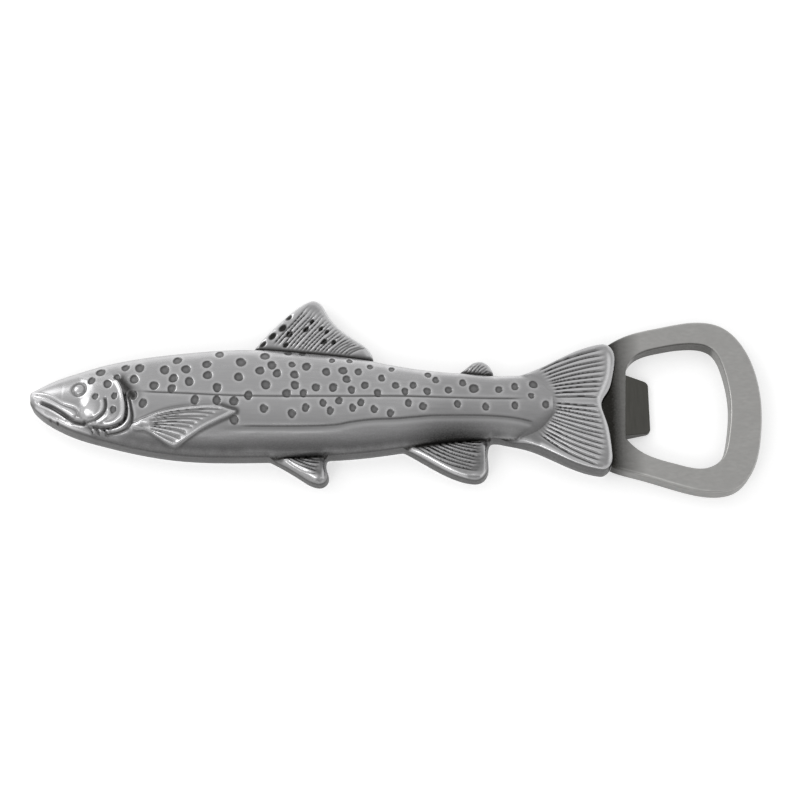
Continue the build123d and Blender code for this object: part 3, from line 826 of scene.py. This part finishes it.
def add_hollows(mesh, rounds, name):
    """Attribute for how deep each point lies in the surface round it."""
    count = len(mesh.vertices)
    place = np.zeros(count * 3)
    mesh.vertices.foreach_get("co", place)
    place = place.reshape(-1, 3)
    edges = np.zeros(len(mesh.edges) * 2, np.int64)
    mesh.edges.foreach_get("vertices", edges)
    a, b = edges.reshape(-1, 2).T
    degree = np.bincount(a, minlength=count) + np.bincount(b, minlength=count)
    smooth = place.copy()
    for _ in range(rounds):
        total = np.zeros_like(smooth)
        for k in range(3):
            total[:, k] = np.bincount(a, smooth[b, k], count) + np.bincount(b, smooth[a, k], count)
        smooth = 0.4 * smooth + 0.6 * total / np.maximum(degree, 1)[:, None]
    normal = np.zeros(count * 3)
    mesh.vertices.foreach_get("normal", normal)
    depth = ((smooth - place) * normal.reshape(-1, 3)).sum(1) / MM
    store(mesh, name, depth)


# ---------------------------------------------------------------- materials
# Each metal's bright colour and its dark colour; the dark ones serve both the stains and the
# painted shade
PEWTER = (0.565, 0.563, 0.57)
PEWTER_STAIN_AND_SHADE = (0.03, 0.029, 0.028)
SATIN = (0.51, 0.505, 0.492)
COVER_METAL = (0.46, 0.455, 0.45)
GREY_STAIN_AND_SHADE = (0.03, 0.029, 0.026)
DARK_STEEL = (0.115, 0.113, 0.103)
STEEL_STAIN_AND_SHADE = (0.02, 0.02, 0.02)
PLAIN_STEEL = (0.5, 0.5, 0.49)
PLAIN_STAIN_AND_SHADE = (0.05, 0.05, 0.05)
CLOUD_SCALE = 260.0  # of the noise for clouds, brush lines and fine grain, per metre
BRUSH_SCALE = 1500.0
FINE_SCALE = 2600.0
RIDGE_SHARE = 0.45  # how far ridges are brightened, as rubbed wear and painted highlight
# How much brighter rubbed wear and painted highlights are
RUB_AND_HIGHLIGHT_GAIN = 1.5
GRAIN_STRENGTH = 0.25
GRAIN_HEIGHT = 0.00002
WALL_SHADE = 0.84  # painted shade on the casting's wall behind the head
WALL_SHADE_X = (-0.034, -0.018)  # over which it begins
RING_EDGE_SHADE = 0.32  # painted shade on the ring close to the tail
RING_EDGE_SHADE_X = (0.0510, 0.0532)  # over which it ends
BRIDGE_SHADE = 0.7  # painted shade on the bridge between the tail and the opening
BRIDGE_SHADE_X = (0.0530, 0.0585)


def new_material(name):
    """A material with its node tree and its principled shader."""
    material = bpy.data.materials.new(name)
    material.use_nodes = True
    tree = material.node_tree
    return material, tree, tree.nodes["Principled BSDF"]


def set_inputs(node, **values):
    """Set a node's sockets by name, with spaces for underscores."""
    for name, value in values.items():
        node.inputs[name.replace("_", " ")].default_value = value


def mix_colour(tree, factor, low, high):
    """Colour mixed from low to high by a factor socket."""
    mix = tree.nodes.new("ShaderNodeMix")
    mix.data_type = "RGBA"
    tree.links.new(factor, mix.inputs["Factor"])
    for socket, value in ((mix.inputs[6], low), (mix.inputs[7], high)):
        if isinstance(value, bpy.types.NodeSocket):
            tree.links.new(value, socket)
        else:
            socket.default_value = (*value, 1)
    return mix.outputs[2]


def mapped(tree, value, from_low, from_high, to_low, to_high):
    """A value mapped from one range to another, clamped."""
    node = tree.nodes.new("ShaderNodeMapRange")
    tree.links.new(value, node.inputs["Value"])
    set_inputs(node, From_Min=from_low, From_Max=from_high, To_Min=to_low, To_Max=to_high)
    return node.outputs["Result"]


def maths(tree, operation, first, second):
    """A two-input maths node."""
    node = tree.nodes.new("ShaderNodeMath")
    node.operation = operation
    for socket, value in zip(node.inputs, (first, second)):
        if isinstance(value, bpy.types.NodeSocket):
            tree.links.new(value, socket)
        else:
            socket.default_value = value
    return node.outputs[0]


def noise(tree, scale, detail=4.0, roughness=0.55, stretch=(1, 1, 1)):
    """Noise in object space; scale is per metre."""
    place = tree.nodes.new("ShaderNodeTexCoord")
    mapping = tree.nodes.new("ShaderNodeMapping")
    mapping.inputs["Scale"].default_value = stretch
    tree.links.new(place.outputs["Object"], mapping.inputs["Vector"])
    texture = tree.nodes.new("ShaderNodeTexNoise")
    tree.links.new(mapping.outputs["Vector"], texture.inputs["Vector"])
    set_inputs(texture, Scale=scale, Detail=detail, Roughness=roughness)
    return texture.outputs["Fac"]


def bump(tree, shader, height, strength, distance):
    """Bump the shader's normal by a height socket."""
    node = tree.nodes.new("ShaderNodeBump")
    set_inputs(node, Strength=strength, Distance=distance)
    tree.links.new(height, node.inputs["Height"])
    tree.links.new(node.outputs["Normal"], shader.inputs["Normal"])


def attribute(tree, name):
    """A number stored on the mesh's points."""
    node = tree.nodes.new("ShaderNodeAttribute")
    node.attribute_name = name
    return node.outputs["Fac"]


def coordinate(tree, kind, axis):
    """One axis of a texture coordinate, such as the object's own place or its normal."""
    source = tree.nodes.new("ShaderNodeTexCoord")
    split = tree.nodes.new("ShaderNodeSeparateXYZ")
    tree.links.new(source.outputs[kind], split.inputs["Vector"])
    return split.outputs[axis]


def steepness(tree):
    """0 on faces square to the front or the back, 1 on upright walls."""
    level = maths(tree, "ABSOLUTE", coordinate(tree, "Normal", "Z"), 0)
    return mapped(tree, level, 0.7, 0.3, 0, 1)


def along_x(tree, low, high):
    """1 in front of one place along the opener and 0 behind another."""
    return mapped(tree, coordinate(tree, "Object", "X"), low, high, 1, 0)


def pewter_material(name, bright, dark, rough, sides, stains_and_shades=(), streak=(1, 1, 1), ridge_wear_and_highlight=False):
    """Antiqued metal: bright where it was rubbed and where a highlight is painted on, darker on
    upright walls and where the stain stays.

    sides is how dark upright walls are, as painted shade with some antique finish left on the
    sides;
    stains_and_shades are functions that each add a socket of stain and painted shade; and
    ridge_wear_and_highlight says that the surface's own ridges are brightened, as rubbed wear and
    painted highlight.
    """
    material, tree, shader = new_material(name)
    set_inputs(shader, Metallic=1.0)
    cloud = noise(tree, CLOUD_SCALE)
    fine = noise(tree, FINE_SCALE, 4.0, 0.6)
    brushed = noise(tree, BRUSH_SCALE, 3.0, 0.6, streak)
    patchy = mapped(tree, cloud, 0.3, 0.7, 0, 1)
    colour = mix_colour(tree, patchy, bright, tuple(0.92 * c for c in bright))
    lines = mapped(tree, brushed, 0.3, 0.7, 0, 1)
    colour = mix_colour(tree, lines, colour, tuple(0.86 * c for c in bright))
    roughness = mapped(tree, brushed, 0.3, 0.7, rough - 0.04, rough + 0.05)
    steep = steepness(tree)
    # Upright walls darkened: painted shade, with some antique finish left on the sides
    total = maths(tree, "MULTIPLY", steep, sides)
    for stain_and_shade in stains_and_shades:
        total = maths(tree, "MAXIMUM", total, stain_and_shade(tree))
    if ridge_wear_and_highlight:
        # Ridges and rubbed places brightened: rubbed wear, partly a painted highlight
        ridge = mapped(tree, attribute(tree, "hollow_fine"), -0.015, -0.13, 0, 1)
        level = maths(tree, "SUBTRACT", 1, steep)
        ridge = maths(tree, "MULTIPLY", ridge, RIDGE_SHARE)
        ridge = maths(tree, "MAXIMUM", ridge, attribute(tree, "rub_and_highlight"))
        ridge = maths(tree, "MULTIPLY", ridge, level)
        cleaned = maths(tree, "MULTIPLY", ridge, 0.6)
        total = maths(tree, "SUBTRACT", total, cleaned)
        rub_and_highlight = tuple(RUB_AND_HIGHLIGHT_GAIN * c for c in bright)
        colour = mix_colour(tree, ridge, colour, rub_and_highlight)
        polish = maths(tree, "MULTIPLY", ridge, 0.06)
        roughness = maths(tree, "SUBTRACT", roughness, polish)
    uneven = mapped(tree, fine, 0.3, 0.7, 0.93, 1.05)
    total = maths(tree, "MULTIPLY", total, uneven)
    total = mapped(tree, total, 0, 1, 0, 1)
    colour = mix_colour(tree, total, colour, dark)
    dull = maths(tree, "MULTIPLY", total, 0.12)
    roughness = maths(tree, "ADD", roughness, dull)
    tree.links.new(colour, shader.inputs["Base Color"])
    tree.links.new(roughness, shader.inputs["Roughness"])
    bump(tree, shader, fine, GRAIN_STRENGTH, GRAIN_HEIGHT)
    return material


def casting_stain_and_wall_shade(tree):
    """Stain of the relief and of its hollows, with painted shade on the wall behind the head."""
    deep = mapped(tree, attribute(tree, "hollow_fine"), 0.01, 0.12, 0, 0.4)
    wide = mapped(tree, attribute(tree, "hollow_broad"), 0.04, 0.5, 0, 0.35)
    total = maths(tree, "ADD", deep, wide)
    # Painted shade on the upright wall behind the head
    wall = maths(tree, "SUBTRACT", 1, along_x(tree, *WALL_SHADE_X))
    wall = maths(tree, "MULTIPLY", wall, steepness(tree))
    wall = maths(tree, "MULTIPLY", wall, WALL_SHADE)
    total = maths(tree, "MAXIMUM", total, wall)
    return maths(tree, "MAXIMUM", total, attribute(tree, "stain_and_shade"))


def bridge_painted_shade(tree):
    """Painted shade on the ring beside the tail and on the bridge behind it."""
    edge = along_x(tree, *RING_EDGE_SHADE_X)
    edge = maths(tree, "MULTIPLY", edge, RING_EDGE_SHADE)
    bridge = along_x(tree, *BRIDGE_SHADE_X)
    bridge = maths(tree, "MULTIPLY", bridge, BRIDGE_SHADE)
    return maths(tree, "ADD", edge, bridge)


def opening_painted_shade(tree):
    """Painted shade on the wall of the ring's opening that faces the belly side."""
    facing = mapped(tree, coordinate(tree, "Normal", "Y"), -0.3, -0.8, 0, 0.8)
    place = coordinate(tree, "Object", "Y")
    back_half = mapped(tree, place, 0.002, 0.006, 0, 1)
    return maths(tree, "MULTIPLY", facing, back_half)


def assign(obj, material):
    """Give an object one material."""
    obj.data.materials.clear()
    obj.data.materials.append(material)


# ---------------------------------------------------------------- assembly
def smooth_shading(mesh):
    """Shade every face smooth but those that face straight back."""
    normal = np.zeros(len(mesh.polygons) * 3)
    mesh.polygons.foreach_get("normal", normal)
    mesh.polygons.foreach_set("use_smooth", normal.reshape(-1, 3)[:, 2] > -0.999)
    mesh.update()


def build_casting():
    """The detailed casting, which stands for its CAD node."""
    mesh = casting_mesh()
    add_hollows(mesh, FINE_ROUNDS, "hollow_fine")
    add_hollows(mesh, BROAD_ROUNDS, "hollow_broad")
    mesh = cut_back(mesh)
    mesh.name = "trout_casting"
    smooth_shading(mesh)
    mesh.set_sharp_from_angle(angle=SHARP_ANGLE)
    casting = place_object("trout_casting", mesh)
    assign(casting, pewter_material(
        "antique_pewter", PEWTER, PEWTER_STAIN_AND_SHADE, 0.28, 0.86, [casting_stain_and_wall_shade], (0.07, 1, 1), True,
    ))
    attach(casting, "root")
    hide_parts("fish_casting")


def finish_cad_nodes():
    """Materials for the CAD nodes that show."""
    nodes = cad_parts
    # Painted shade on the ring beside the tail, on its bridge and in its opening
    ring_painted_shades = [bridge_painted_shade, opening_painted_shade]
    assign(nodes["opener_frame"], pewter_material(
        "satin_pewter", SATIN, GREY_STAIN_AND_SHADE, 0.34, 0.46, ring_painted_shades, (0.4, 1, 1)
    ))
    assign(nodes["pry_tooth"], pewter_material(
        "dark_steel", DARK_STEEL, STEEL_STAIN_AND_SHADE, 0.36, 0.5, [], (1, 0.15, 1)
    ))
    assign(nodes["back_cover"], pewter_material(
        "cover_metal", COVER_METAL, GREY_STAIN_AND_SHADE, 0.32, 0.5, [], (0.06, 1, 1)
    ))
    steel = pewter_material("plain_steel", PLAIN_STEEL, PLAIN_STAIN_AND_SHADE, 0.3, 0.5)
    for name in ("tooth_rivets", "tang_rivets", "cover_screws"):
        assign(nodes[name], steel)


FLOOR_SIZE = 6.0
FLOOR_GAP = 0.0002  # below the opener
FLOOR_TONES = (0.84, 0.84, 0.84), (0.81, 0.81, 0.81)
FLOOR_GLOW = 0.44


def build_stage():
    """Pale floor under the opener."""
    level = cad_box[0][2] - FLOOR_GAP
    bpy.ops.mesh.primitive_plane_add(size=FLOOR_SIZE, location=(0, 0, level))
    floor = bpy.context.object
    floor.name = "floor"
    material, tree, shader = new_material("floor")
    paper = noise(tree, 900.0, 5.0)
    colour = mix_colour(tree, paper, *FLOOR_TONES)
    tree.links.new(colour, shader.inputs["Base Color"])
    set_inputs(shader, Roughness=0.9, Emission_Color=(1, 1, 1, 1), Emission_Strength=FLOOR_GLOW)
    assign(floor, material)


# Brightness of the surroundings from the camera's side, -Y, over the top to the far side, +Y
SURROUNDINGS = [
    (-1.0, 0.3), (-0.94, 0.45), (-0.86, 0.6), (-0.7, 0.7), (-0.34, 0.68), (0.0, 0.66),
    (0.4, 0.67), (0.87, 0.72), (1.0, 0.8),
]
# Softboxes: name, place, size and brightness
SOFTBOXES = [
    ("left_box", (-0.73, 0.46, 0.46), (0.64, 0.46), 2.0),
    ("belly_box", (-0.1, -0.8, 0.75), (0.4, 0.2), 1.3),
    ("front_box", (-0.55, -0.62, 0.62), (0.4, 0.35), 2.5),
]


def build_lights():
    """Soft light all round, dim low on the camera's side, and the softboxes."""
    world = bpy.data.worlds.new("studio")
    world.use_nodes = True
    tree = world.node_tree
    ramp = tree.nodes.new("ShaderNodeValToRGB")
    steps = ramp.color_ramp.elements
    while len(steps) < len(SURROUNDINGS):
        steps.new(0.5)
    for step, (side, level) in zip(steps, SURROUNDINGS):
        step.position = (side + 1) / 2
        step.color = (level, level, level, 1)
    direction = coordinate(tree, "Generated", "Y")
    tree.links.new(mapped(tree, direction, -1, 1, 0, 1), ramp.inputs["Fac"])
    tree.links.new(ramp.outputs["Color"], tree.nodes["Background"].inputs["Color"])
    bpy.context.scene.world = world
    bpy.context.scene.view_settings.view_transform = "Standard"
    for softbox in SOFTBOXES:
        add_softbox(*softbox)


def add_softbox(name, place, size, brightness):
    """Rectangular light of an even brightness, turned to the opener."""
    data = bpy.data.lights.new(name, "AREA")
    data.shape = "RECTANGLE"
    data.size, data.size_y = size
    data.energy = brightness * math.pi * size[0] * size[1]
    light = place_object(name, data)
    light.location = place
    light.rotation_euler = (-Vector(place)).to_track_quat("-Z", "Y").to_euler()


CAMERA_TILT = math.radians(20.5)  # off square to the front, towards the belly side
CAMERA_DISTANCE = 0.420
CAMERA_AIM = Vector((0.0010, -0.0001, 0.0))
CAMERA_LENS = 78.94
SENSOR = 36.0


def build_camera():
    """The camera at the photograph's viewing angle."""
    data = bpy.data.cameras.new("camera")
    data.lens = CAMERA_LENS
    data.sensor_width = SENSOR
    data.clip_start, data.clip_end = 0.01, 20.0
    camera = place_object("camera", data)
    back = Vector((0, -math.sin(CAMERA_TILT), math.cos(CAMERA_TILT)))
    camera.location = CAMERA_AIM + back * CAMERA_DISTANCE
    camera.rotation_euler = (CAMERA_TILT, 0, 0)
    bpy.context.scene.camera = camera


build_casting()
finish_cad_nodes()
build_stage()
build_lights()
build_camera()
